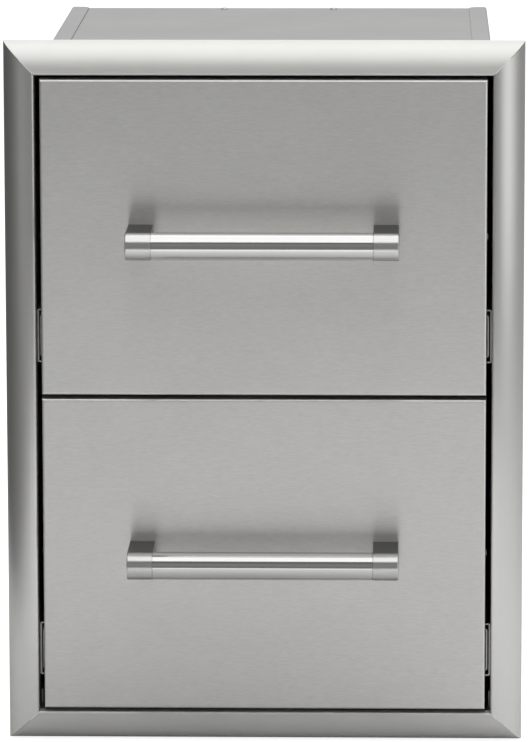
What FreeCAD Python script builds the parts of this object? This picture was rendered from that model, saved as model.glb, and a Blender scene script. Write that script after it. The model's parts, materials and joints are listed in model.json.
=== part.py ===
import FreeCAD, Part
import math
import os

from FreeCAD import Placement, Rotation, Vector

# Outdoor kitchen drawer unit: a folded stainless cabinet that is set into a wall opening,
# a rounded trim frame in four mitred rails, and two drawers on full-extension ball slides.
# Sizes are in millimetres. X runs to the right along the front, Y into the wall, Z up.
# The origin lies on the wall plane, at the middle of the bottom trim rail's rear flange.

# Sheet metal
SHEET = 1.2              # trim, cabinet and drawer fronts
BOX_SHEET = 0.9          # drawer boxes
SHEET_BEND = 2.2         # outer radius of an ordinary fold
FIT = 0.1                # air between two sheets, or a shank and its hole

# Trim frame
TRIM_W = 431.8
TRIM_H = 590.5
TRIM_LAP = 25.4          # how far the trim stands out past the cabinet on each side
TRIM_SIDE = 5.2          # flat outer side, before the quarter round starts
TRIM_LIP = 2.2           # fold at the edge of the opening
TRIM_RETURN = 12.0       # from the trim's crown back to the cabinet's welded front edge
TRIM_FLANGE = 12.0       # rear flange, which lies on the wall
MITRE_GAP = 0.3          # hairline seam at each corner

# Cabinet
CABINET_DEPTH = 495.3    # behind the wall plane
TOP_FLANGE = 16.0        # side panel's flange, lapped over the top panel
TOP_FLANGE_START = 2.0   # where that flange begins, behind the wall plane
TOP_FLANGE_CORNER = 8.0
FLOOR_FLANGE = 12.0      # bottom panel's upturned flange
BACK_FLANGE = 15.0       # back panel's forward flange
SCREW_HOLE_D = 5.0       # fixing screws through the side panels
SCREW_HOLE_RISE = 120.0  # above each slide's centre line
SCREW_HOLE_Y = (60.0, 360.0)

# Drawer fronts
GAP_SIDE = 4.4           # front to trim, left and right
GAP_LEVEL = 3.3          # above, between and below the two fronts
FRONT_PROUD = 0.6        # face of the front, forward of the trim's crown
FRONT_DEPTH = 20.0
BACKING_FLANGE = 12.0

# Drawer boxes
BOX_RISE = 10.0          # underside, above the front's bottom edge
BOX_H = 198.0
BOX_BACK_ROOM = 50.5     # from the box's end to the cabinet's rear face
BOX_FLANGE = 12.0        # turned outwards everywhere, so that the inside is smooth
BOX_HEM = 10.0           # hem along the top of each side, folded outwards

# Ball slides
SLIDE_H = 45.0
SLIDE_W = 12.7
SLIDE_SHEET = 1.2
SLIDE_BEND = 1.6
SLIDE_LIP = 2.2          # edge that keeps the balls in
SLIDE_RISE = 46.5        # centre line, above the front's bottom edge
SLIDE_SET_BACK = 2.2     # front ends, behind the drawer front
SLIDE_TAIL = 2.8         # rear ends, short of the box's end
BALL_D = 3.4
BALL_PLAY = 0.1          # running clearance on each side of a ball
BALL_SEAT = 0.9          # ball's near side to the cage's web
BALLS_PER_ROW = 8
CAGE_SHEET = 0.6
CAGE_BEND = 0.9
CAGE_AIR = 0.3           # on each side of a cage's web
CAGE_LENGTH = 190.0
CAGE_HOLE_PLAY = 0.15
BUMPER_LENGTH = 12.0
BUMPER_H = 24.0
BUMPER_AIR = 2.0

# Handles
BAR_D = 23.0
BAR_WALL = 1.5
BAR_STANDOFF = 45.5      # bar's axis, forward of the front's face
HOLE_SPACING = 203.2     # between the two fixing screws
POST_W = 21.0
POST_ROUND = 1.0
SEAM_CHAMFER = 0.3
SPIGOT_LENGTH = 12.0
HANDLE_SCREW_D = 5.0
HANDLE_SCREW_GRIP = 14.0 # screw in the post
SCREW_HEAD_D = 9.5
SCREW_HEAD_H = 3.2
SCREW_SOCKET = 3.0
SCREW_SOCKET_DEPTH = 2.0
ACCESS_HOLE_D = 14.0

# Rivets
RIVET_D = 4.0
RIVET_HEAD_D = 6.4
RIVET_HEAD_H = 1.2
RIVET_TAIL_D = 5.6
RIVET_TAIL_H = 0.9
RIVET_ROUND = 1.0
RIVET_EDGE = 6.0         # rivet's centre, in from a sheet's edge
SLIDE_RIVET_END = 36.0   # first and last rivet, in from the ends of a moving slide member
FRONT_RIVET_END = 24.0   # likewise on the box's front wall
BACK_RIVET_PITCH = 100.0

# What follows from them
FOLD_INSIDE = SHEET_BEND - SHEET
BOX_BEND = FOLD_INSIDE + BOX_SHEET
BOTTOM = -TRIM_FLANGE / 2
TOP = BOTTOM + TRIM_H
TRIM_BREADTH = TRIM_LAP + SHEET
TRIM_ROUND = TRIM_BREADTH - TRIM_LIP
TRIM_DEPTH = TRIM_SIDE + TRIM_ROUND
PANEL_FRONT = TRIM_RETURN - TRIM_DEPTH
WALL = TRIM_W / 2 - TRIM_BREADTH
FLOOR = BOTTOM + TRIM_BREADTH
CEILING = TOP - TRIM_BREADTH
FRONT_W = 2 * (WALL - GAP_SIDE)
FRONT_H = (CEILING - FLOOR - 3 * GAP_LEVEL) / 2
DRAWER_PITCH = FRONT_H + GAP_LEVEL
FRONT_FACE = -TRIM_DEPTH - FRONT_PROUD
FRONT_BACK = FRONT_FACE + FRONT_DEPTH
FRONT_BOTTOM = FLOOR + GAP_LEVEL
HANDLE_LEVEL = FRONT_BOTTOM + FRONT_H / 2
BAR_Y = FRONT_FACE - BAR_STANDOFF
POST_INNER = (HOLE_SPACING - POST_W) / 2
POST_OUTER = (HOLE_SPACING + POST_W) / 2
BOX_BOTTOM = FRONT_BOTTOM + BOX_RISE
BOX_TOP = BOX_BOTTOM + BOX_H
BOX_HALF = WALL - SLIDE_W
BOX_END = CABINET_DEPTH - BOX_BACK_ROOM
BOX_BACK = BOX_END - BOX_FLANGE
SLIDE_LEVEL = FRONT_BOTTOM + SLIDE_RISE
SLIDE_START = FRONT_BACK + SLIDE_SET_BACK
SLIDE_END = BOX_END - SLIDE_TAIL
MOVING_END = SLIDE_END - BUMPER_LENGTH - BUMPER_AIR
MOVING_MIDDLE = (SLIDE_START + MOVING_END) / 2

# Slide section: distances from the cabinet wall, and half heights from the slide's centre line
OUTER_CAGE_WEB = SLIDE_SHEET + CAGE_AIR
MIDDLE_WEB = OUTER_CAGE_WEB + CAGE_SHEET + CAGE_AIR
INNER_CAGE_WEB = MIDDLE_WEB + SLIDE_SHEET + CAGE_AIR
INNER_TIP = INNER_CAGE_WEB + CAGE_SHEET + CAGE_AIR
BALL_STEP = BALL_D / 2 + BALL_PLAY
OUTER_HALF = SLIDE_H / 2
OUTER_BALLS = OUTER_HALF - SLIDE_SHEET - BALL_STEP
MIDDLE_HALF = OUTER_BALLS - BALL_STEP
INNER_BALLS = MIDDLE_HALF - SLIDE_SHEET - BALL_STEP
INNER_HALF = INNER_BALLS - BALL_STEP
BALL_OUT = CAGE_SHEET + BALL_SEAT + BALL_D / 2
MEMBER_OUT = BALL_OUT + BALL_D / 2 + 2 * BALL_PLAY + SLIDE_SHEET


def spot(axis, u, v, along=0.0):
    """Point of a section across the axis, at a distance along that axis."""
    if axis == "x":
        return Vector(along, u, v)
    if axis == "y":
        return Vector(u, along, v)
    return Vector(u, v, along)


def unit(a, b):
    """Direction from one section point to another."""
    length = math.hypot(b[0] - a[0], b[1] - a[1])
    return (b[0] - a[0]) / length, (b[1] - a[1]) / length


def folded(path, sheet):
    """Closed section of a folded sheet.

    The path (u, v, bend radius) is the sheet's outer face. The sheet lies on its left,
    or on its right where the thickness is negative.
    """
    steps = [unit(a, b) for a, b in zip(path, path[1:])]
    inside = []
    for i, (u, v, bend) in enumerate(path):
        before = steps[max(i - 1, 0)]
        after = steps[min(i, len(steps) - 1)]
        turn = before[0] * after[1] - before[1] * after[0]
        share = sheet / (1 + before[0] * after[0] + before[1] * after[1])
        inner_bend = max(bend - sheet * turn, 0.0) if bend else 0.0
        shift_u = -(before[1] + after[1]) * share
        shift_v = (before[0] + after[0]) * share
        inside.append((u + shift_u, v + shift_v, inner_bend))
    return path + inside[::-1]


def section_edges(axis, corners, along=0.0):
    """Edges of a closed outline with corners (u, v, radius)."""
    starts, ends, middles = [], [], []
    count = len(corners)
    for i, (u, v, radius) in enumerate(corners):
        before = unit(corners[i - 1], corners[i])
        after = unit(corners[i], corners[(i + 1) % count])
        cosine = before[0] * after[0] + before[1] * after[1]
        half_turn = math.acos(max(-1.0, min(1.0, cosine))) / 2
        cut = radius * math.tan(half_turn)
        starts.append(spot(axis, u - before[0] * cut, v - before[1] * cut, along))
        ends.append(spot(axis, u + after[0] * cut, v + after[1] * cut, along))
        lean_u, lean_v = unit(before, after) if radius else (0.0, 0.0)
        inset = radius / math.cos(half_turn) - radius if radius else 0.0
        middles.append(spot(axis, u + lean_u * inset, v + lean_v * inset, along))
    edges = []
    for i in range(count):
        if corners[i][2]:
            edges.append(Part.Arc(starts[i], middles[i], ends[i]).toShape())
        following = starts[(i + 1) % count]
        if ends[i].distanceToPoint(following) > 1e-6:
            edges.append(Part.makeLine(ends[i], following))
    return edges


def prism(axis, corners, start, end):
    """Outline drawn out along an axis, between two distances."""
    face = Part.Face(Part.Wire(section_edges(axis, corners, start)))
    return face.extrude(spot(axis, 0, 0, end - start))


def block(low, high):
    """Plain box between two corners."""
    size = [b - a for a, b in zip(low, high)]
    return Part.makeBox(size[0], size[1], size[2], Vector(*low))


def turned(corners, point, direction):
    """Turned piece: outline (radius, height, corner radius), stood at a point along a direction."""
    face = Part.Face(Part.Wire(section_edges("y", corners)))
    piece = face.revolve(Vector(0, 0, 0), Vector(0, 0, 1), 360)
    piece.Placement = Placement(point, Rotation(Vector(0, 0, 1), direction))
    return piece


def hole(point, direction, diameter, reach):
    """Round hole through a sheet at a point, reaching as far to both sides."""
    start = point - direction * reach
    return Part.makeCylinder(diameter / 2, 2 * reach, start, direction)


def mirrored(shape):
    """The same shape on the other side of the unit."""
    return shape.mirror(Vector(0, 0, 0), Vector(1, 0, 0))


def lifted(shape, height):
    """Copy of a shape at another level."""
    copy = shape.copy()
    copy.translate(Vector(0, 0, height))
    return copy


def edges_in_plane(shape, axis, value):
    """Edges that lie wholly in one plane across an axis."""
    found = []
    for edge in shape.Edges:
        heights = [getattr(vertex.Point, axis) for vertex in edge.Vertexes]
        if all(abs(height - value) < 1e-6 for height in heights):
            found.append(edge)
    return found


def tray(width, height, depth, sheet, bend):
    """Folded pan, centred on X, standing on z = 0: its face at y = 0, open towards +Y."""
    outer = block((-width / 2, 0, 0), (width / 2, depth, height))
    outer = outer.makeFillet(bend, edges_in_plane(outer, "y", 0))
    inner = block((sheet - width / 2, sheet, sheet), (width / 2 - sheet, depth + sheet, height - sheet))
    inner = inner.makeFillet(bend - sheet, edges_in_plane(inner, "y", sheet))
    return outer.cut(inner)


def placed(shape, x=0.0, y=0.0, z=0.0):
    """Shape moved to its place."""
    shape.translate(Vector(x, y, z))
    return shape


def save(name, *solids):
    """Write one named sub-part."""
    shape = solids[0] if len(solids) == 1 else Part.makeCompound(solids)
    if not shape.isValid():
        raise ValueError(name + " is not a valid solid")
    shape.exportStep("parts/" + name + ".step")


# Trim frame

def trim_side(length, angle, place):
    """Mitred side of the trim frame, drawn as a top rail and turned about Y to its place."""
    section = folded([
        (0, -TRIM_FLANGE, 0),
        (0, 0, SHEET_BEND),
        (-TRIM_DEPTH, 0, TRIM_ROUND),
        (-TRIM_DEPTH, -TRIM_BREADTH, TRIM_LIP),
        (PANEL_FRONT, -TRIM_BREADTH, 0),
    ], SHEET)
    rail = prism("x", section, -length / 2, length / 2)
    end = length / 2 - MITRE_GAP / math.sqrt(2)
    reach = 2 * TRIM_BREADTH
    mitres = [(-end, 0, 0), (end, 0, 0), (end - reach, -reach, 0), (reach - end, -reach, 0)]
    rail = rail.common(prism("y", mitres, -2 * TRIM_DEPTH, TRIM_DEPTH))
    rail.rotate(Vector(0, 0, 0), Vector(0, 1, 0), angle)
    rail.translate(place)
    return rail


def save_trim():
    middle = (TOP + BOTTOM) / 2
    save("trim_rail_top", trim_side(TRIM_W, 0, Vector(0, 0, TOP)))
    save("trim_stile_right", trim_side(TRIM_H, 90, Vector(TRIM_W / 2, 0, middle)))
    save("trim_rail_bottom", trim_side(TRIM_W, 180, Vector(0, 0, BOTTOM)))
    save("trim_stile_left", trim_side(TRIM_H, 270, Vector(-TRIM_W / 2, 0, middle)))


# Fasteners

def rivet(point, direction, grip):
    """Blind rivet: its head stands at the point, its shank runs back through the grip."""
    return turned([
        (0, -grip - RIVET_TAIL_H, 0),
        (RIVET_TAIL_D / 2, -grip - RIVET_TAIL_H, 0),
        (RIVET_TAIL_D / 2, -grip, 0),
        (RIVET_D / 2, -grip, 0),
        (RIVET_D / 2, 0, 0),
        (RIVET_HEAD_D / 2, 0, 0),
        (RIVET_HEAD_D / 2, RIVET_HEAD_H, RIVET_ROUND),
        (0, RIVET_HEAD_H, 0),
    ], point, direction)


def flush_rivet(point, direction, air=0.0):
    """Rivet with its far end sunk flush in a slide's web, or the room that it needs."""
    foot = -SHEET - SLIDE_SHEET
    return turned([
        (0, foot + FIT / 2 - air, 0),
        (RIVET_HEAD_D / 2 + air, foot + FIT / 2 - air, 0),
        (RIVET_D / 2 + air, foot + SLIDE_SHEET, 0),
        (RIVET_D / 2 + air, 0, 0),
        (RIVET_HEAD_D / 2 + air, 0, 0),
        (RIVET_HEAD_D / 2 + air, RIVET_HEAD_H, RIVET_ROUND),
        (0, RIVET_HEAD_H, 0),
    ], point, direction)


def rivet_hole(point, direction):
    """Hole for a rivet's shank through the sheets that it joins."""
    return hole(point, direction, RIVET_D + 2 * FIT, 2 * (SHEET + SLIDE_SHEET))


def handle_screw(x):
    """Screw from inside the front into a handle post, with a hexagon socket."""
    shank = HANDLE_SCREW_D / 2
    reach = SHEET + HANDLE_SCREW_GRIP
    piece = turned([
        (0, -reach, 0),
        (shank, -reach, 0),
        (shank, 0, 0),
        (SCREW_HEAD_D / 2, 0, 0),
        (SCREW_HEAD_D / 2, SCREW_HEAD_H, RIVET_ROUND),
        (0, SCREW_HEAD_H, 0),
    ], Vector(x, FRONT_FACE + SHEET, HANDLE_LEVEL), Vector(0, 1, 0))
    radius = SCREW_SOCKET / math.sqrt(3)
    angles = [math.radians(60 * i) for i in range(6)]
    corners = [(x + radius * math.cos(a), HANDLE_LEVEL + radius * math.sin(a), 0) for a in angles]
    head = FRONT_FACE + SHEET + SCREW_HEAD_H
    return piece.cut(prism("y", corners, head - SCREW_SOCKET_DEPTH, head + SCREW_SOCKET_DEPTH))


# Cabinet

def rivet_row(start, end, inset):
    """Three evenly spaced places between two ends."""
    return start + inset, (start + end) / 2, end - inset


def slide_rivet_spots():
    """Where the left outer slide members are riveted to the left side panel's outer face."""
    levels = (SLIDE_LEVEL, SLIDE_LEVEL + DRAWER_PITCH)
    places = rivet_row(SLIDE_START, MOVING_END, SLIDE_RIVET_END)
    return [Vector(-WALL - SHEET, y, z) for z in levels for y in places]


def back_rivet_spots():
    """Where the back panel is riveted: each point on a panel's outer face, with its way out.

    The bottom has none, so that it lies flat on the sill.
    """
    y = CABINET_DEPTH - SHEET - BACK_FLANGE / 2
    middle = (FLOOR + CEILING) / 2
    quarter = (CEILING - FLOOR) / 4
    spots = []
    for x in (-BACK_RIVET_PITCH / 2, BACK_RIVET_PITCH / 2):
        spots.append((Vector(x, y, CEILING + SHEET), Vector(0, 0, 1)))
    for z in (middle - quarter, middle, middle + quarter):
        spots.append((Vector(-WALL - SHEET, y, z), Vector(-1, 0, 0)))
        spots.append((Vector(WALL + SHEET, y, z), Vector(1, 0, 0)))
    return spots


def cut_back_rivets(panel):
    """Rivet holes of the back panel's seam, through one of the sheets there."""
    for point, direction in back_rivet_spots():
        panel = panel.cut(rivet_hole(point, direction))
    return panel


def side_panel():
    """Left side panel, with a flange lapped over the top panel."""
    outer = -WALL - SHEET
    low = FLOOR - SHEET
    high = CEILING + 2 * SHEET
    front = block((outer, PANEL_FRONT, low), (-WALL, TOP_FLANGE_START, high))
    section = folded([
        (outer + TOP_FLANGE, high, 0),
        (outer, high, SHEET_BEND),
        (outer, low, 0),
    ], SHEET)
    rear = prism("y", section, TOP_FLANGE_START, CABINET_DEPTH)
    corner = [
        edge for edge in edges_in_plane(rear, "x", outer + TOP_FLANGE)
        if all(abs(vertex.Y - CABINET_DEPTH) < 1e-6 for vertex in edge.Vertexes)
    ]
    rear = rear.makeFillet(TOP_FLANGE_CORNER, corner)
    panel = front.fuse(rear).removeSplitter()
    for point in slide_rivet_spots():
        panel = panel.cut(flush_rivet(point, Vector(-1, 0, 0), FIT))
    for level in (SLIDE_LEVEL, SLIDE_LEVEL + DRAWER_PITCH):
        for y in SCREW_HOLE_Y:
            point = Vector(-WALL, y, level + SCREW_HOLE_RISE)
            panel = panel.cut(hole(point, Vector(1, 0, 0), SCREW_HOLE_D, 2 * SHEET))
    return cut_back_rivets(panel)


def top_panel():
    """Flat top between the side panels, under their flanges."""
    edge = WALL - FOLD_INSIDE
    front = block((-WALL, PANEL_FRONT, CEILING), (WALL, TOP_FLANGE_START, CEILING + SHEET))
    rear = block((-edge, TOP_FLANGE_START, CEILING), (edge, CABINET_DEPTH, CEILING + SHEET))
    return cut_back_rivets(front.fuse(rear).removeSplitter())


def bottom_panel():
    """Flat bottom with an upturned flange along each side panel."""
    section = folded([
        (-WALL, FLOOR + FLOOR_FLANGE, 0),
        (-WALL, FLOOR - SHEET, SHEET_BEND),
        (WALL, FLOOR - SHEET, SHEET_BEND),
        (WALL, FLOOR + FLOOR_FLANGE, 0),
    ], SHEET)
    flange_end = CABINET_DEPTH - SHEET - BACK_FLANGE - SHEET
    front = block((-WALL, PANEL_FRONT, FLOOR - SHEET), (WALL, TOP_FLANGE_START, FLOOR))
    middle = prism("y", section, TOP_FLANGE_START, flange_end)
    rear = block((-WALL, flange_end, FLOOR - SHEET), (WALL, CABINET_DEPTH, FLOOR))
    return middle.fuse([front, rear]).removeSplitter()


def back_panel():
    """Back panel, a shallow tray that faces forward between the other panels."""
    width = 2 * (WALL - FIT)
    height = CEILING - FLOOR - 2 * FIT
    panel = tray(width, height, BACK_FLANGE, SHEET, SHEET_BEND)
    panel = panel.mirror(Vector(0, 0, 0), Vector(0, 1, 0))
    return cut_back_rivets(placed(panel, y=CABINET_DEPTH, z=FLOOR + FIT))


def save_cabinet():
    left = side_panel()
    save("cabinet_side_left", left)
    save("cabinet_side_right", mirrored(left))
    save("cabinet_top", top_panel())
    save("cabinet_bottom", bottom_panel())
    save("cabinet_back", back_panel())
    grip = 2 * SHEET + FIT
    save("cabinet_back_rivets", *[rivet(point, way, grip) for point, way in back_rivet_spots()])
    rivets = [flush_rivet(point, Vector(-1, 0, 0)) for point in slide_rivet_spots()]
    save("cabinet_slide_rivets", *rivets, *[mirrored(piece) for piece in rivets])


# Ball slides, drawn on the left and at the lower drawer

def channel(web, opening, half, lip, sheet, bend):
    """Section of a slide member: a web, two flanges and, if it has them, two ball lips."""
    toward = sheet if opening > web else -sheet
    path = [(opening, half, bend if lip else 0), (web, half, bend), (web, -half, bend)]
    path.append((opening, -half, bend if lip else 0))
    if lip:
        path = [(opening, half - lip, 0)] + path + [(opening, lip - half, 0)]
    return folded(path, toward)


def slide_member(section, start, end):
    """Piece of one section, drawn along the slide at its place."""
    return placed(prism("y", section, start, end), x=-WALL, z=SLIDE_LEVEL)


def outer_member():
    section = channel(0, OUTER_CAGE_WEB + MEMBER_OUT, OUTER_HALF, SLIDE_LIP, SLIDE_SHEET, SLIDE_BEND)
    member = slide_member(section, SLIDE_START, SLIDE_END)
    for point in slide_rivet_spots():
        member = member.cut(flush_rivet(point, Vector(-1, 0, 0), FIT))
    return member


def middle_member():
    section = channel(
        MIDDLE_WEB, INNER_CAGE_WEB + MEMBER_OUT, MIDDLE_HALF, SLIDE_LIP, SLIDE_SHEET, SLIDE_BEND)
    return slide_member(section, SLIDE_START, MOVING_END)


def box_slide_spots():
    """Where the inner slide member is riveted to the left box side, on the side's inner face."""
    x = -BOX_HALF + BOX_SHEET
    places = rivet_row(SLIDE_START, MOVING_END, SLIDE_RIVET_END)
    return [Vector(x, y, SLIDE_LEVEL) for y in places]


def inner_member():
    section = channel(SLIDE_W, INNER_TIP, INNER_HALF, 0, SLIDE_SHEET, SLIDE_BEND)
    member = slide_member(section, SLIDE_START, MOVING_END)
    for point in box_slide_spots():
        member = member.cut(rivet_hole(point, Vector(1, 0, 0)))
    return member


def ball_spots(web, half):
    """Ball centres of a cage, in a row above and a row below the slide's centre line."""
    pitch = CAGE_LENGTH / BALLS_PER_ROW
    first = MOVING_MIDDLE - pitch * (BALLS_PER_ROW - 1) / 2
    x = -WALL + web + BALL_OUT
    rows = (SLIDE_LEVEL - half, SLIDE_LEVEL + half)
    return [Vector(x, first + pitch * i, z) for z in rows for i in range(BALLS_PER_ROW)]


def ball_cage(web, half):
    """Cage strip folded round two rows of balls, with the balls in its holes."""
    hole_d = BALL_D + 2 * CAGE_HOLE_PLAY
    opening = web + BALL_OUT + hole_d / 2 + CAGE_SHEET
    section = channel(web, opening, half + CAGE_SHEET / 2, 0, CAGE_SHEET, CAGE_BEND)
    cage = slide_member(section, MOVING_MIDDLE - CAGE_LENGTH / 2, MOVING_MIDDLE + CAGE_LENGTH / 2)
    centres = ball_spots(web, half)
    cage = cage.cut([hole(centre, Vector(0, 0, 1), hole_d, 2 * CAGE_SHEET) for centre in centres])
    return [cage] + [Part.makeSphere(BALL_D / 2, centre) for centre in centres]


def bumper():
    """Rubber stop in the rear end of an outer member."""
    low = (-WALL + SLIDE_SHEET, SLIDE_END - BUMPER_LENGTH, SLIDE_LEVEL - BUMPER_H / 2)
    high = (-WALL + INNER_CAGE_WEB + MEMBER_OUT, SLIDE_END, SLIDE_LEVEL + BUMPER_H / 2)
    piece = block(low, high)
    return piece.makeFillet(SLIDE_LIP, edges_in_plane(piece, "x", high[0]))


def save_slides(drawer, lift):
    """Slide members of one drawer that don't ride on its box."""
    pieces = {
        "_slide_outer": [outer_member()],
        "_slide_middle": [middle_member()],
        "_cage_outer": ball_cage(OUTER_CAGE_WEB, OUTER_BALLS),
        "_cage_inner": ball_cage(INNER_CAGE_WEB, INNER_BALLS),
    }
    for name, solids in pieces.items():
        here = [lifted(solid, lift) for solid in solids]
        save(drawer + name + "_left", *here)
        save(drawer + name + "_right", *[mirrored(solid) for solid in here])
    stop = lifted(bumper(), lift)
    save(drawer + "_slide_bumpers", stop, mirrored(stop))


# Drawer front and its handle, drawn at the lower drawer

def front_side_spots():
    """Where the front's backing is riveted through the front's left and right returns."""
    y = FRONT_BACK - RIVET_EDGE
    return [(Vector(x * FRONT_W / 2, y, HANDLE_LEVEL), Vector(x, 0, 0)) for x in (-1, 1)]


def box_front_spots():
    """Where the box's front wall is riveted to the backing, on the wall's inner face."""
    x = BOX_HALF - RIVET_EDGE - BOX_SHEET
    y = FRONT_BACK + BOX_SHEET
    levels = rivet_row(BOX_BOTTOM + BOX_FLANGE, BOX_TOP, FRONT_RIVET_END)
    return [Vector(side * x, y, z) for side in (-1, 1) for z in levels]


def front_skin():
    """Face of the drawer front, folded back on its four edges."""
    skin = placed(tray(FRONT_W, FRONT_H, FRONT_DEPTH, SHEET, SHEET_BEND), y=FRONT_FACE, z=FRONT_BOTTOM)
    cuts = [rivet_hole(point, way) for point, way in front_side_spots()]
    for x in (-HOLE_SPACING / 2, HOLE_SPACING / 2):
        centre = Vector(x, FRONT_FACE, HANDLE_LEVEL)
        cuts.append(hole(centre, Vector(0, 1, 0), HANDLE_SCREW_D + 2 * FIT, 2 * SHEET))
    return skin.cut(cuts)


def front_backing():
    """Inner panel that closes the back of the front, with access holes to the handle screws."""
    inset = SHEET + FIT
    panel = tray(FRONT_W - 2 * inset, FRONT_H - 2 * inset, BACKING_FLANGE, SHEET, SHEET_BEND)
    panel = panel.mirror(Vector(0, 0, 0), Vector(0, 1, 0))
    panel = placed(panel, y=FRONT_BACK, z=FRONT_BOTTOM + inset)
    cuts = [rivet_hole(point, way) for point, way in front_side_spots()]
    cuts += [rivet_hole(point, Vector(0, 1, 0)) for point in box_front_spots()]
    for x in (-HOLE_SPACING / 2, HOLE_SPACING / 2):
        centre = Vector(x, FRONT_BACK, HANDLE_LEVEL)
        cuts.append(hole(centre, Vector(0, 1, 0), ACCESS_HOLE_D, 2 * SHEET))
    return panel.cut(cuts)


def handle_bar():
    """Tube between the two posts."""
    start = Vector(-POST_INNER, BAR_Y, HANDLE_LEVEL)
    tube = Part.makeCylinder(BAR_D / 2, 2 * POST_INNER, start, Vector(1, 0, 0))
    ends = edges_in_plane(tube, "x", -POST_INNER) + edges_in_plane(tube, "x", POST_INNER)
    tube = tube.makeChamfer(SEAM_CHAMFER, ends)
    return tube.cut(Part.makeCylinder(BAR_D / 2 - BAR_WALL, 2 * POST_INNER, start, Vector(1, 0, 0)))


def handle_post():
    """Left post: a flat-topped arm from the front's face that ends in the bar's round."""
    radius = BAR_D / 2
    section = [
        (FRONT_FACE, HANDLE_LEVEL - radius, 0),
        (FRONT_FACE, HANDLE_LEVEL + radius, 0),
        (BAR_Y - radius, HANDLE_LEVEL + radius, radius),
        (BAR_Y - radius, HANDLE_LEVEL - radius, radius),
    ]
    arm = prism("x", section, -POST_OUTER, -POST_INNER)
    outer = edges_in_plane(arm, "x", -POST_OUTER)
    along_outer = [edge for edge in outer if abs(edge.CenterOfMass.y - FRONT_FACE) > 1e-6]
    arm = arm.makeFillet(POST_ROUND, along_outer)
    inner = edges_in_plane(arm, "x", -POST_INNER)
    arm = arm.makeChamfer(SEAM_CHAMFER, [edge for edge in inner if edge.Curve.TypeId == "Part::GeomCircle"])
    spigot_start = Vector(-POST_INNER - SPIGOT_LENGTH / 2, BAR_Y, HANDLE_LEVEL)
    spigot_radius = radius - BAR_WALL - FIT
    spigot = Part.makeCylinder(spigot_radius, 1.5 * SPIGOT_LENGTH, spigot_start, Vector(1, 0, 0))
    mouth = Vector(-HOLE_SPACING / 2, FRONT_FACE, HANDLE_LEVEL)
    depth = HANDLE_SCREW_GRIP + 2 * SHEET
    return arm.fuse(spigot).cut(hole(mouth, Vector(0, 1, 0), HANDLE_SCREW_D + 2 * FIT, depth))


# Drawer box, drawn at the lower drawer

def box_side():
    """Left side: a flat sheet with its top edge hemmed outwards."""
    outer = -BOX_HALF
    inner = outer + BOX_SHEET
    hem = outer - BOX_SHEET
    section = [
        (inner, BOX_BOTTOM, 0),
        (inner, BOX_TOP, BOX_SHEET),
        (hem, BOX_TOP, BOX_SHEET),
        (hem, BOX_TOP - BOX_HEM, 0),
        (outer, BOX_TOP - BOX_HEM, 0),
        (outer, BOX_BOTTOM, 0),
    ]
    side = prism("y", section, FRONT_BACK, BOX_END)
    cuts = [rivet_hole(point, Vector(1, 0, 0)) for point in box_slide_spots()]
    cuts += [rivet_hole(point, way) for point, way in box_back_spots() + box_bottom_spots()]
    return side.cut(cuts)


def box_front():
    """Front wall, welded between the sides, with access holes to the handle screws."""
    half = BOX_HALF - BOX_SHEET
    wall = block((-half, FRONT_BACK, BOX_BOTTOM), (half, FRONT_BACK + BOX_SHEET, BOX_TOP - BOX_SHEET))
    cuts = [rivet_hole(point, Vector(0, 1, 0)) for point in box_front_spots()]
    for x in (-HOLE_SPACING / 2, HOLE_SPACING / 2):
        centre = Vector(x, FRONT_BACK, HANDLE_LEVEL)
        cuts.append(hole(centre, Vector(0, 1, 0), ACCESS_HOLE_D, 2 * SHEET))
    return wall.cut(cuts)


def box_back_spots():
    """Where the box's back is riveted to its sides, on the sides' outer faces."""
    y = BOX_BACK + BOX_FLANGE / 2
    levels = (BOX_BOTTOM + BOX_H / 3, BOX_BOTTOM + 2 * BOX_H / 3)
    return [(Vector(x * BOX_HALF, y, z), Vector(x, 0, 0)) for x in (-1, 1) for z in levels]


def box_back():
    """Back of the box, a shallow tray between the sides that is open to the rear."""
    width = 2 * (BOX_HALF - BOX_SHEET)
    panel = tray(width, BOX_H - BOX_SHEET, BOX_FLANGE, BOX_SHEET, BOX_BEND)
    panel = placed(panel, y=BOX_BACK, z=BOX_BOTTOM)
    return panel.cut([rivet_hole(point, way) for point, way in box_back_spots()])


def box_bottom_spots():
    """Where the box's bottom is riveted to its sides, on the sides' outer faces."""
    z = BOX_BOTTOM + BOX_FLANGE / 2
    places = rivet_row(FRONT_BACK, BOX_BACK, SLIDE_RIVET_END)
    return [(Vector(x * BOX_HALF, y, z), Vector(x, 0, 0)) for x in (-1, 1) for y in places]


def box_bottom():
    """Bottom of the box, turned down along both sides."""
    half = BOX_HALF - BOX_SHEET
    top = BOX_BOTTOM + BOX_FLANGE
    section = folded([
        (-half, BOX_BOTTOM, 0),
        (-half, top, BOX_BEND),
        (half, top, BOX_BEND),
        (half, BOX_BOTTOM, 0),
    ], -BOX_SHEET)
    pan = prism("y", section, FRONT_BACK + BOX_SHEET + FIT, BOX_BACK - FIT)
    return pan.cut([rivet_hole(point, way) for point, way in box_bottom_spots()])


def drawer_rivets():
    """Rivets that hold the inner slide members, the front, the bottom and the back to the box."""
    slide_grip = BOX_SHEET + SLIDE_SHEET
    pieces = [rivet(point, Vector(1, 0, 0), slide_grip) for point in box_slide_spots()]
    pieces += [mirrored(piece) for piece in pieces]
    pieces += [rivet(point, Vector(0, 1, 0), BOX_SHEET + SHEET) for point in box_front_spots()]
    pieces += [rivet(point, way, 2 * BOX_SHEET) for point, way in box_back_spots() + box_bottom_spots()]
    return pieces


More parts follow.
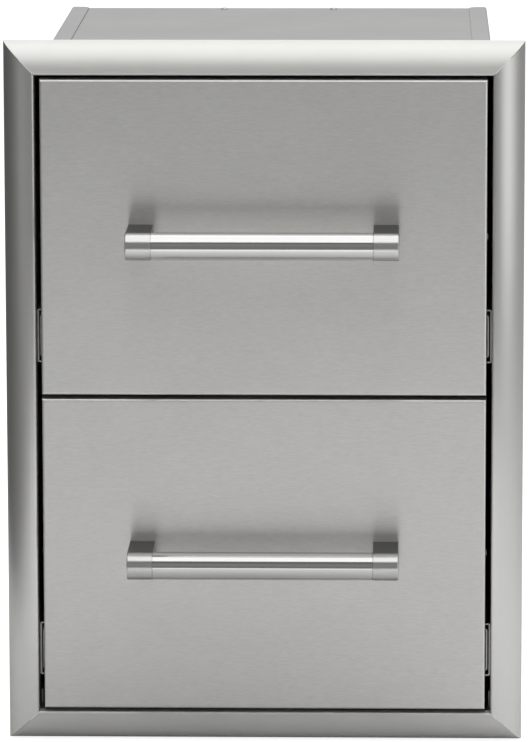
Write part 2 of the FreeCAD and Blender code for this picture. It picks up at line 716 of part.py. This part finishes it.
def save_drawer(drawer, lift):
    """Every piece that moves with one drawer's box."""
    post = handle_post()
    inner = inner_member()
    side = box_side()
    front_grip = 2 * SHEET + FIT
    pieces = {
        "_front_skin": [front_skin()],
        "_front_backing": [front_backing()],
        "_front_rivets": [rivet(point, way, front_grip) for point, way in front_side_spots()],
        "_handle_bar": [handle_bar()],
        "_handle_post_left": [post],
        "_handle_post_right": [mirrored(post)],
        "_handle_screws": [handle_screw(x) for x in (-HOLE_SPACING / 2, HOLE_SPACING / 2)],
        "_box_side_left": [side],
        "_box_side_right": [mirrored(side)],
        "_box_front": [box_front()],
        "_box_back": [box_back()],
        "_box_bottom": [box_bottom()],
        "_box_rivets": drawer_rivets(),
        "_slide_inner_left": [inner],
        "_slide_inner_right": [mirrored(inner)],
    }
    for name, solids in pieces.items():
        save(drawer + name, *[lifted(solid, lift) for solid in solids])


os.makedirs("parts", exist_ok=True)
save_trim()
save_cabinet()
for drawer, lift in (("lower", 0.0), ("upper", DRAWER_PITCH)):
    save_slides(drawer, lift)
    save_drawer(drawer, lift)
print("front", FRONT_W, "x", FRONT_H, "opening", 2 * WALL, "x", CEILING - FLOOR)
print("slide level", SLIDE_LEVEL, "drawer pitch", DRAWER_PITCH, "handle level", HANDLE_LEVEL)
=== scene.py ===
# %% [markdown]
# Outdoor kitchen drawer unit, dressed for its picture.
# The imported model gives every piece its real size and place, and this lesson gives each
# piece its finish. The frame is loaded first and never moved, so whatever is made here
# goes straight to its place, in metres.

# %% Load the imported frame
import json
import math

import bmesh
import bpy
from mathutils import Matrix, Vector


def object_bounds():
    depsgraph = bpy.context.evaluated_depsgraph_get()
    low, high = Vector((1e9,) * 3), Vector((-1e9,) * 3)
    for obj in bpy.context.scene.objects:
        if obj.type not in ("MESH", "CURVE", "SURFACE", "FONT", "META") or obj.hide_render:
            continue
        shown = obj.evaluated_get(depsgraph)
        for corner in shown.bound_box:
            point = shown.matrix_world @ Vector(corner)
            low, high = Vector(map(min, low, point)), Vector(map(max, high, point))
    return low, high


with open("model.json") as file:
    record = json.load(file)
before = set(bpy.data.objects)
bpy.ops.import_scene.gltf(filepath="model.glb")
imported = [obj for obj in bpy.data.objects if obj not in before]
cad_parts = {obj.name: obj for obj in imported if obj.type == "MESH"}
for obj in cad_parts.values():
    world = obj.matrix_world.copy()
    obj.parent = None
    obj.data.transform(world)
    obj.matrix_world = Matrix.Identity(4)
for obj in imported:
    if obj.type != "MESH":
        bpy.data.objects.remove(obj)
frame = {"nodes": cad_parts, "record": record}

cad_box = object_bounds()
print("CAD box", [round(v, 4) for corner in cad_box for v in corner])

# %% [markdown]
# The camera stands where the photographer stood: well back, a little to the right and
# above, looking slightly down. A long lens keeps the uprights nearly parallel. Its angles
# and its focal length in pixels were worked out from the edges in the photograph, so they
# are given as such, and the matrix is built from the three directions of the view. The
# sensor lies along the picture's longer side, its height.

# %% Camera
IMAGE_HEIGHT_PX = 742
FOCAL_PX = 5343
SENSOR_MM = 36.0
CAMERA_AT = Vector((0.1232, -4.3991, 1.0688))
YAW, PITCH, ROLL = (math.radians(angle) for angle in (-1.602, 9.829, -0.117))


def make_camera():
    """Camera with the photograph's viewpoint and lens."""
    forward = Vector((
        math.sin(YAW) * math.cos(PITCH),
        math.cos(YAW) * math.cos(PITCH),
        -math.sin(PITCH),
    ))
    level = Vector((math.cos(YAW), -math.sin(YAW), 0.0))
    upright = level.cross(forward)
    right = level * math.cos(ROLL) + upright * math.sin(ROLL)
    up = upright * math.cos(ROLL) - level * math.sin(ROLL)
    turn = Matrix((right, up, -forward)).transposed().to_4x4()
    data = bpy.data.cameras.new("camera")
    data.sensor_width = SENSOR_MM
    data.lens = FOCAL_PX * SENSOR_MM / IMAGE_HEIGHT_PX
    camera = bpy.data.objects.new("camera", data)
    camera.matrix_world = Matrix.Translation(CAMERA_AT) @ turn
    bpy.context.scene.collection.objects.link(camera)
    bpy.context.scene.camera = camera
    print("camera lens", round(data.lens, 2), "mm")


make_camera()

# %% [markdown]
# A material is a graph of nodes. Written out socket by socket it gets long, so a few
# helpers keep it readable: one sets a socket or joins another to it, one fills a node's
# sockets by name, one adds a node, one calculates, and one turns a value into a range.

# %% Node helpers
def put(value, socket):
    """Set a socket to a value, or join another socket to it."""
    if isinstance(value, bpy.types.NodeSocket):
        socket.id_data.links.new(value, socket)
    else:
        socket.default_value = value


def fill(node, **inputs):
    """Put values or sockets in a node's inputs by name (spaces as underscores)."""
    for name, value in inputs.items():
        put(value, node.inputs[name.replace("_", " ")])
    return node


def add(tree, kind, **inputs):
    """New shader node with its inputs filled."""
    return fill(tree.nodes.new("ShaderNode" + kind), **inputs)


def calculate(tree, operation, *values, kind="Math"):
    """Result of one operation on numbers or sockets."""
    node = add(tree, kind)
    node.operation = operation
    for value, socket in zip(values, node.inputs):
        put(value, socket)
    return node.outputs[0]


def times(tree, first, second):
    return calculate(tree, "MULTIPLY", first, second)


def from_to(tree, value, start, end, low=0.0, high=1.0, curve="SMOOTHSTEP"):
    """Change from low to high while the value goes from start to end."""
    node = add(tree, "MapRange", Value=value, From_Min=start, From_Max=end,
               To_Min=low, To_Max=high)
    node.interpolation_type = curve
    return node.outputs["Result"]


# %% [markdown]
# Effects that several finishes share are shader groups with named sockets, built once and
# placed in each material with its own values. Both groups of this lesson mix a fine and a
# coarse layer of noise, because one layer alone looks too regular.

# %% Helpers for shared effects
def new_group(name, inputs, output):
    """Empty shader group with input sockets (name, kind, default) and one number out."""
    group = bpy.data.node_groups.new(name, "ShaderNodeTree")
    for label, kind, value in inputs:
        socket = group.interface.new_socket(
            label, in_out="INPUT", socket_type="NodeSocket" + kind)
        if value is not None:
            socket.default_value = value
    group.interface.new_socket(output, in_out="OUTPUT", socket_type="NodeSocketFloat")
    return group, group.nodes.new("NodeGroupInput"), group.nodes.new("NodeGroupOutput")


def two_noises(tree, place, first, second, share):
    """Two noise layers, each a (scale, detail, roughness), with a share of the second."""
    layers = [
        add(tree, "TexNoise", Vector=place, Scale=scale, Detail=detail, Roughness=roughness)
        for scale, detail, roughness in (first, second)
    ]
    mix = add(tree, "Mix", Factor=share, A=layers[0].outputs["Fac"], B=layers[1].outputs["Fac"])
    return mix.outputs["Result"]


# %% [markdown]
# Brushing leaves thousands of fine, nearly parallel scratches. They could be drawn as an
# image, but noise that is stretched along one axis looks like them at any size. The first
# axis of the group below runs along the grain, so a material turns its coordinates to lay
# the grain across a drawer front or along an upright.

# %% Shared effect: brushed grain
SCRATCH_WIDTH, SCRATCH_LENGTH = 0.00025, 0.03
FINE_SCRATCHES = (1.0, 3.0, 0.6)
BROAD_SCRATCHES = (0.35, 2.0, 0.5)
BROAD_SHARE = 0.2


def make_grain_group():
    """Streaks from a place, for scratches of a width and a length in metres."""
    group, source, result = new_group("brushed_grain", [
        ("Vector", "Vector", None),
        ("Scratch", "Float", SCRATCH_WIDTH),
        ("Length", "Float", SCRATCH_LENGTH),
    ], "Streaks")
    across = calculate(group, "DIVIDE", 1.0, source.outputs["Scratch"])
    along = calculate(group, "DIVIDE", 1.0, source.outputs["Length"])
    stretch = add(group, "CombineXYZ", X=along, Y=across, Z=across)
    laid = calculate(group, "MULTIPLY", source.outputs["Vector"], stretch.outputs["Vector"],
                     kind="VectorMath")
    streaks = two_noises(group, laid, FINE_SCRATCHES, BROAD_SCRATCHES, BROAD_SHARE)
    fill(result, Streaks=streaks)
    return group


grain_group = make_grain_group()
print("group", grain_group.name)

# %% [markdown]
# Steel that has been wiped and handled is never quite even. A low, cloudy noise lightens
# and darkens it by a few percent, which keeps the large fronts from looking like plastic.

# %% Shared effect: handling haze
CLOUDS = (9.0, 3.0, 0.55)
SMUDGES = (60.0, 4.0, 0.6)
SMUDGE_SHARE = 0.3


def make_haze_group():
    """Clouds from a place, in metres."""
    group, source, result = new_group("handling_haze", [("Vector", "Vector", None)], "Haze")
    place = source.outputs["Vector"]
    fill(result, Haze=two_noises(group, place, CLOUDS, SMUDGES, SMUDGE_SHARE))
    return group


haze_group = make_haze_group()
print("group", haze_group.name)

# %% [markdown]
# All the steels share one recipe: a metallic surface, streaks that vary its roughness and
# colour and stand in its bump, and haze that varies its colour. A brushed surface also
# spreads reflections across the grain, far more than along it. That is anisotropy, with
# the tangent laid along the grain and turned by a quarter. The handles' posts were brushed
# around while they turned on a lathe, so theirs isn't turned.

# %% Steel recipe
QUARTER_TURN = math.pi / 2
GRAIN_AXES = {"x": (1.0, 0.0, 0.0), "y": (0.0, 1.0, 0.0), "z": (0.0, 0.0, 1.0)}
GRAIN_TURNS = {
    "x": (0.0, 0.0, 0.0),
    "y": (0.0, 0.0, -QUARTER_TURN),
    "z": (0.0, QUARTER_TURN, 0.0),
}
SMEAR_ACROSS, SMEAR_ALONG = 0.25, 0.0
NOISE_LOW, NOISE_HIGH = 0.3, 0.7        # most of a noise lies between these


def new_material(name):
    """Material with its node tree and its shader."""
    material = bpy.data.materials.new(name)
    material.use_nodes = True
    tree = material.node_tree
    return material, tree, tree.nodes["Principled BSDF"]


def use_group(tree, group, **inputs):
    """Output of a shared effect, placed in a material with its own values."""
    node = add(tree, "Group")
    node.node_tree = group
    return fill(node, **inputs).outputs[0]


def ranged(tree, noise, low, high):
    return from_to(tree, noise, NOISE_LOW, NOISE_HIGH, low, high, curve="LINEAR")


def scaled(color, factor):
    return [min(c * factor, 1.0) for c in color] + [1.0]


def steel(name, color, roughness, grain="x", spread=0.0, smear=SMEAR_ACROSS,
          scratch=SCRATCH_WIDTH, length=SCRATCH_LENGTH, relief=0.0,
          streak=0.04, tint=0.0, haze=0.03, edge=0.85):
    """Steel with its grain along one axis.

    Spread is how far it smears reflections, relief the height of its scratches in metres.
    Streak and tint say how much the scratches vary its roughness and its colour, haze how
    much handling varies its colour, and edge how bright it stays at a flat angle.
    """
    material, tree, shader = new_material(name)
    place = add(tree, "TexCoord").outputs["Object"]
    laid = add(tree, "Mapping", Vector=place, Rotation=GRAIN_TURNS[grain]).outputs["Vector"]
    streaks = use_group(tree, grain_group, Vector=laid, Scratch=scratch, Length=length)
    clouds = use_group(tree, haze_group, Vector=place)
    tone = add(tree, "MixRGB", Fac=ranged(tree, clouds, 0.0, 1.0),
               Color1=scaled(color, 1 - haze), Color2=scaled(color, 1 + haze))
    grained = add(tree, "MixRGB", Fac=1.0, Color1=tone.outputs["Color"],
                  Color2=ranged(tree, streaks, 1 - tint, 1 + tint))
    grained.blend_type = "MULTIPLY"
    rough = ranged(tree, streaks, roughness * (1 - streak), roughness * (1 + streak))
    fill(shader, Base_Color=grained.outputs["Color"], Roughness=rough, Metallic=1.0,
         Anisotropic=spread, Anisotropic_Rotation=smear, Specular_Tint=(edge, edge, edge, 1.0))
    if relief:
        bump = add(tree, "Bump", Strength=1.0, Distance=relief, Height=streaks)
        fill(shader, Normal=bump.outputs["Normal"])
    if spread:
        x, y, z = GRAIN_AXES[grain]
        tangent = add(tree, "CombineXYZ", X=x, Y=y, Z=z)
        fill(shader, Tangent=tangent.outputs["Vector"])
    return material


# %% [markdown]
# The finishes of the real unit. The fronts are brushed across and each trim rail along its
# own length. The tubes of the handles are polished and their posts brushed around. The
# cabinet and the drawer boxes, which few people see once the unit is built in, keep the
# dull face of sheet from the mill, and the slides are plated with zinc. Their colours were
# matched to the photograph under the studio's lamps.

# %% Steel finishes
STEELS = {
    "front": dict(
        color=(0.72, 0.714, 0.695), roughness=0.282, spread=0.925,
        scratch=0.0012, length=0.007, relief=4e-6, streak=0.02, tint=0.06),
    "trim": dict(
        color=(0.735, 0.732, 0.711), roughness=0.34, spread=1.0, relief=3e-6, tint=0.02),
    # The uprights take the trim's steel painted a shade darker: painted shade.
    "trim_upright_shaded": dict(
        color=(0.70, 0.697, 0.679), roughness=0.34, grain="z", spread=0.8,
        relief=3e-6, tint=0.02),
    "handle_bar": dict(color=(0.66, 0.658, 0.65), roughness=0.10, scratch=0.0002),
    "handle_post": dict(
        color=(0.64, 0.638, 0.63), roughness=0.30, spread=0.8, smear=SMEAR_ALONG,
        scratch=0.02, length=0.0004, relief=1e-6, tint=0.02, edge=0.37),
    "cabinet": dict(
        color=(0.46, 0.46, 0.456), roughness=0.40, grain="y", haze=0.06, edge=0.88),
    "box": dict(color=(0.56, 0.56, 0.55), roughness=0.40, grain="y", haze=0.06),
    "slide": dict(color=(0.66, 0.66, 0.65), roughness=0.38, grain="y", haze=0.08),
    "slide_cage": dict(color=(0.58, 0.58, 0.57), roughness=0.3, grain="y"),
    "fastener": dict(color=(0.60, 0.60, 0.60), roughness=0.28),
}
finishes = {name: steel(name, **recipe) for name, recipe in STEELS.items()}
print("steels", ", ".join(finishes))

# %% [markdown]
# The drawers stop against rubber bumpers. Moulded rubber is nearly black and matt, and a
# fine speckle in its tone and its roughness is enough for pieces of a few millimetres.

# %% Rubber finish
RUBBER_DARK, RUBBER_PALE = 0.012, 0.022
RUBBER_ROUGHNESS = (0.65, 0.8)
SPECKLE_SCALE, SPECKLE_DETAIL = 900.0, 3.0


def blend(tree, start, end, factor):
    """Mix from one grey to another; each end is a number or a socket."""
    first, second = (
        (grey, grey, grey, 1.0) if isinstance(grey, float) else grey for grey in (start, end))
    return add(tree, "MixRGB", Fac=factor, Color1=first, Color2=second).outputs["Color"]


def rubber(name):
    material, tree, shader = new_material(name)
    place = add(tree, "TexCoord").outputs["Object"]
    speckle = add(tree, "TexNoise", Vector=place, Scale=SPECKLE_SCALE,
                  Detail=SPECKLE_DETAIL).outputs["Fac"]
    fill(shader, Base_Color=blend(tree, RUBBER_DARK, RUBBER_PALE, speckle),
         Roughness=ranged(tree, speckle, *RUBBER_ROUGHNESS))
    return material


finishes["rubber"] = rubber("rubber")
print("rubber made,", len(finishes), "finishes in all")

# %% [markdown]
# The record names a finish for every piece. The two upright rails of the trim share a slot
# with the level ones, but their grain runs upwards, so they get a finish of their own. That
# finish is also painted a shade darker than the level rails. This is painted shade, which
# tones down the bright floor that the uprights mirror.

# %% Each piece gets its finish
slots = {part["node"]: part["material_slot"] for part in frame["record"]["subparts"]}
for name, node in frame["nodes"].items():
    finish = "trim_upright_shaded" if name.startswith("trim_stile") else slots[name]
    node.data.materials.clear()
    node.data.materials.append(finishes[finish])
print(len(frame["nodes"]), "nodes finished")

# %% [markdown]
# The studio. Metal shows what stands around it, so the room matters as much as the finish.
# The bright and dark bands on the handles' tubes tell what the room was like: a large
# softbox under the ceiling, a pale table that ends a metre and a half in front of the unit,
# softboxes at the right, and darker surroundings in front and at the left.
#
# The floor is that table: a plain pale sheet at the unit's foot, wide and deep enough to
# fill the picture. To the camera it glows a little, which brings it to white and still
# leaves the unit's shadow on it. In reflections it glows behind the unit, where the metal
# shows the white backdrop. Near the table's front edge it glows in reflections only. That
# glow is a painted sheen that stands in for lamp light on the table and brightens the fronts.

# %% Floor glow and painted sheen
# The second number is a painted sheen: a glow seen only in reflections, in front of the unit,
# in place of lamp light on the table.
FLOOR_GLOW, FLOOR_PAINTED_SHEEN = 0.82, 0.60
BACKDROP_DEPTHS, BACKDROP_SIDES = (0.5, 0.9), (0.25, 0.6)      # where it starts and fades
PAINTED_SHEEN_DEPTHS, PAINTED_SHEEN_SIDES = (-1.3, -0.4), (0.2, 0.8)           # where it ends and fades


def floor_glow(tree):
    """Full to the camera; in reflections behind the unit, and well in front as painted sheen.
    """
    parts = add(tree, "SeparateXYZ", Vector=add(tree, "TexCoord").outputs["Object"])
    off_centre = calculate(tree, "ABSOLUTE", parts.outputs["X"])

    def patch(depths, sides, low, high):
        """Glow from low to high over the depths, fading out towards the sides."""
        return times(tree, from_to(tree, parts.outputs["Y"], *depths, low, high),
                     from_to(tree, off_centre, *sides, 1.0, 0.0))

    backdrop = patch(BACKDROP_DEPTHS, BACKDROP_SIDES, 0.0, FLOOR_GLOW)
    # Painted sheen: the floor glows in reflections only, well in front of the unit, in place of
    # lamp light.
    painted_sheen = patch(PAINTED_SHEEN_DEPTHS, PAINTED_SHEEN_SIDES, FLOOR_PAINTED_SHEEN, 0.0)
    rays = add(tree, "LightPath").outputs
    mirrored = times(tree, calculate(tree, "ADD", backdrop, painted_sheen), rays["Is Glossy Ray"])
    seen = times(tree, rays["Is Camera Ray"], FLOOR_GLOW)
    return calculate(tree, "MAXIMUM", seen, mirrored)


# %% Floor sheet
FLOOR_GAP = 0.0002                      # a hair below the unit, so that the two don't touch
FLOOR_LEVEL = cad_box[0].z - FLOOR_GAP
FLOOR_X = (-0.8, 5.0)
FLOOR_Y = (-1.5, 12.0)
FLOOR_COLOR = (0.85, 0.85, 0.85, 1.0)
FLOOR_ROUGHNESS = 0.9


def make_floor():
    """Pale matt sheet."""
    shape = bmesh.new()
    bmesh.ops.create_grid(shape, x_segments=1, y_segments=1, size=1.0)
    half = ((FLOOR_X[1] - FLOOR_X[0]) / 2, (FLOOR_Y[1] - FLOOR_Y[0]) / 2, 1.0)
    middle = (sum(FLOOR_X) / 2, sum(FLOOR_Y) / 2, FLOOR_LEVEL)
    bmesh.ops.scale(shape, verts=shape.verts, vec=half)
    bmesh.ops.translate(shape, verts=shape.verts, vec=middle)
    data = bpy.data.meshes.new("floor")
    shape.to_mesh(data)
    shape.free()
    sheet = bpy.data.objects.new("floor", data)
    bpy.context.scene.collection.objects.link(sheet)
    material, tree, shader = new_material("floor")
    fill(shader, Base_Color=FLOOR_COLOR, Roughness=FLOOR_ROUGHNESS, Specular_IOR_Level=0.0,
         Emission_Color=(1.0, 1.0, 1.0, 1.0), Emission_Strength=floor_glow(tree))
    data.materials.append(material)


make_floor()
print("floor at", round(FLOOR_LEVEL, 4))

# %% [markdown]
# The room's walls are the world, which needs no geometry: it is coloured by the direction
# of a ray alone, as a unit vector whose Z says how high the ray looks. The walls are palest
# straight behind the unit and high up behind it. In front they are darker, a little paler
# just above eye level than below or above that, and they get darker still towards the left
# and the back. To the camera the world is white.

# %% World
ROOM_EYE_LEVEL, ROOM_PALE, ROOM_UPPER = 0.23, 0.28, 0.18       # walls in front, by height
PALE_HEIGHTS, UPPER_HEIGHTS = (0.08, 0.34), (0.38, 0.62)
ROOM_LEFT = 0.40                        # share of that at the left and behind
DIAGONAL, LEFT_TO_RIGHT = 0.7, (-1.1, 0.3)
ROOM_BEHIND, BEHIND_DEPTHS = 0.65, (0.9, 0.98)
ROOM_CEILING, CEILING_HEIGHTS = 0.1, (0.8, 0.97)
ROOM_REAR_WALL = 1.05                   # high up behind the unit
REAR_WALL_DEPTHS, REAR_WALL_HEIGHTS = (0.15, 0.45), (0.15, 0.35)


def make_world():
    """Walls of the room, by the direction of a ray."""
    world = bpy.data.worlds.new("studio")
    bpy.context.scene.world = world
    world.use_nodes = True
    tree = world.node_tree
    way = add(tree, "SeparateXYZ", Vector=add(tree, "TexCoord").outputs["Generated"])
    across, depth, height = way.outputs
    front_right = calculate(
        tree, "SUBTRACT", times(tree, across, DIAGONAL), times(tree, depth, DIAGONAL))
    walls = from_to(tree, height, *PALE_HEIGHTS, ROOM_EYE_LEVEL, ROOM_PALE)
    walls = blend(tree, walls, ROOM_UPPER, from_to(tree, height, *UPPER_HEIGHTS))
    walls = times(tree, walls, from_to(tree, front_right, *LEFT_TO_RIGHT, ROOM_LEFT, 1.0))
    walls = blend(tree, walls, ROOM_BEHIND, from_to(tree, depth, *BEHIND_DEPTHS))
    walls = blend(tree, walls, ROOM_CEILING, from_to(tree, height, *CEILING_HEIGHTS))
    high_behind = times(tree, from_to(tree, depth, *REAR_WALL_DEPTHS),
                        from_to(tree, height, *REAR_WALL_HEIGHTS))
    walls = blend(tree, walls, ROOM_REAR_WALL, high_behind)
    shown = blend(tree, walls, 1.0, add(tree, "LightPath").outputs["Is Camera Ray"])
    fill(tree.nodes["Background"], Color=shown)
    print("world", world.name)


make_world()

# %% [markdown]
# Six softboxes. The one under the ceiling and its weaker front part reach from over the
# unit to a metre in front of it, and draw the white band along the top of each tube and
# rail. Both are aimed a hair off straight down, which settles the way that their long side
# lies. A third lights the table and isn't seen in the metal. Two at the right, one above
# the other, light the right stile, and a faint one at the left lights the left stile.

# %% Lights
def softbox(name, place, toward, size, brightness, mirrored=True):
    """Rectangular lamp facing a point; brightness 1 looks as bright as white paper.

    One that isn't mirrored gives its light but is left out of reflections.
    """
    data = bpy.data.lights.new(name, "AREA")
    data.shape = "RECTANGLE"
    data.size, data.size_y = size
    data.energy = brightness * math.pi * size[0] * size[1]
    lamp = bpy.data.objects.new(name, data)
    lamp.location = place
    lamp.rotation_mode = "QUATERNION"
    lamp.rotation_quaternion = (Vector(place) - Vector(toward)).to_track_quat("Z", "Y")
    lamp.visible_camera = False
    lamp.visible_glossy = mirrored
    bpy.context.scene.collection.objects.link(lamp)
    print("softbox", name, round(data.energy, 1), "W")


softbox("ceiling", place=(0.2, -0.16, 1.5), toward=(0.2, -0.1599, 0.0),
        size=(1.9, 1.35), brightness=1.335)
softbox("ceiling_front", place=(0.2, -1.03, 1.5), toward=(0.2, -1.0299, 0.0),
        size=(1.9, 0.4), brightness=1.26)
softbox("table", place=(0.5, 0.5, 1.8), toward=(0.1, -0.6, 0.0),
        size=(0.8, 0.8), brightness=3.3, mirrored=False)
softbox("right", place=(1.25, -0.75, 1.0), toward=(0.1, -0.05, 0.95),
        size=(1.3, 1.6), brightness=0.56)
softbox("right_low", place=(1.3, -1.0, 0.35), toward=(0.1, -0.05, 0.35),
        size=(0.9, 0.5), brightness=0.5)
softbox("left", place=(-1.3, -1.0, 0.6), toward=(0.0, -0.05, 0.4),
        size=(0.8, 1.0), brightness=0.2)

# %% [markdown]
# Colours are shown as they are, with no film look on top, so that a finish renders in the
# colour it was given.

# %% Colour settings
scene = bpy.context.scene
scene.view_settings.view_transform = "Standard"
